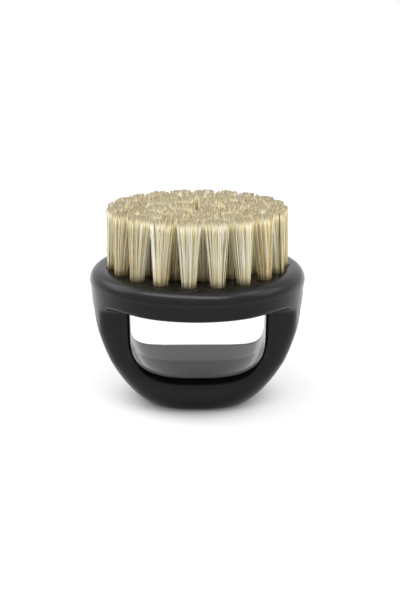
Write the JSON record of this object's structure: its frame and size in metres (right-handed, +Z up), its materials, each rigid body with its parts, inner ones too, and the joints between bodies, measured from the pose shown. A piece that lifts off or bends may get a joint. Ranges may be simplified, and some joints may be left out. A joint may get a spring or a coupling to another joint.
{
  "type": "fade brush",
  "caption": "Hand brush for clearing cut hair: round head of natural bristle tufts on a black finger-ring handle.",
  "frame": {"origin": "centre of the flat foot under the finger ring", "axes": "+Z up from the foot through the middle of the bristles; the finger opening runs along Y, and -Y is the side the picture shows"},
  "size_m": [0.068, 0.068, 0.0637],
  "materials": {
    "handle_plastic": "satin black, moulded",
    "block_plastic": "satin black, moulded, a little glossier than the handle",
    "bristle": "natural boar bristle, cream to tan with a few dark hairs",
    "staple_wire": "bright anchor wire, hidden inside the block"
  },
  "bodies": {
    "root": {"handle": "handle_plastic", "brush_block": "block_plastic", "tufts_outer_ring": "bristle", "tufts_second_ring": "bristle", "tufts_third_ring": "bristle", "tufts_centre": "bristle", "staple_01": "staple_wire", "staple_02": "staple_wire", "staple_03": "staple_wire", "staple_04": "staple_wire", "staple_05": "staple_wire", "staple_06": "staple_wire", "staple_07": "staple_wire", "staple_08": "staple_wire", "staple_09": "staple_wire", "staple_10": "staple_wire", "staple_11": "staple_wire", "staple_12": "staple_wire", "staple_13": "staple_wire", "staple_14": "staple_wire", "staple_15": "staple_wire", "staple_16": "staple_wire", "staple_17": "staple_wire", "staple_18": "staple_wire", "staple_19": "staple_wire", "staple_20": "staple_wire", "staple_21": "staple_wire", "staple_22": "staple_wire", "staple_23": "staple_wire", "staple_24": "staple_wire", "staple_25": "staple_wire", "staple_26": "staple_wire", "staple_27": "staple_wire", "staple_28": "staple_wire", "staple_29": "staple_wire", "staple_30": "staple_wire", "staple_31": "staple_wire", "staple_32": "staple_wire", "staple_33": "staple_wire", "staple_34": "staple_wire", "staple_35": "staple_wire", "staple_36": "staple_wire", "staple_37": "staple_wire", "staple_38": "staple_wire", "staple_39": "staple_wire", "staple_40": "staple_wire", "staple_41": "staple_wire", "staple_42": "staple_wire", "staple_43": "staple_wire", "staple_44": "staple_wire", "staple_45": "staple_wire"}
  },
  "joints": []
}
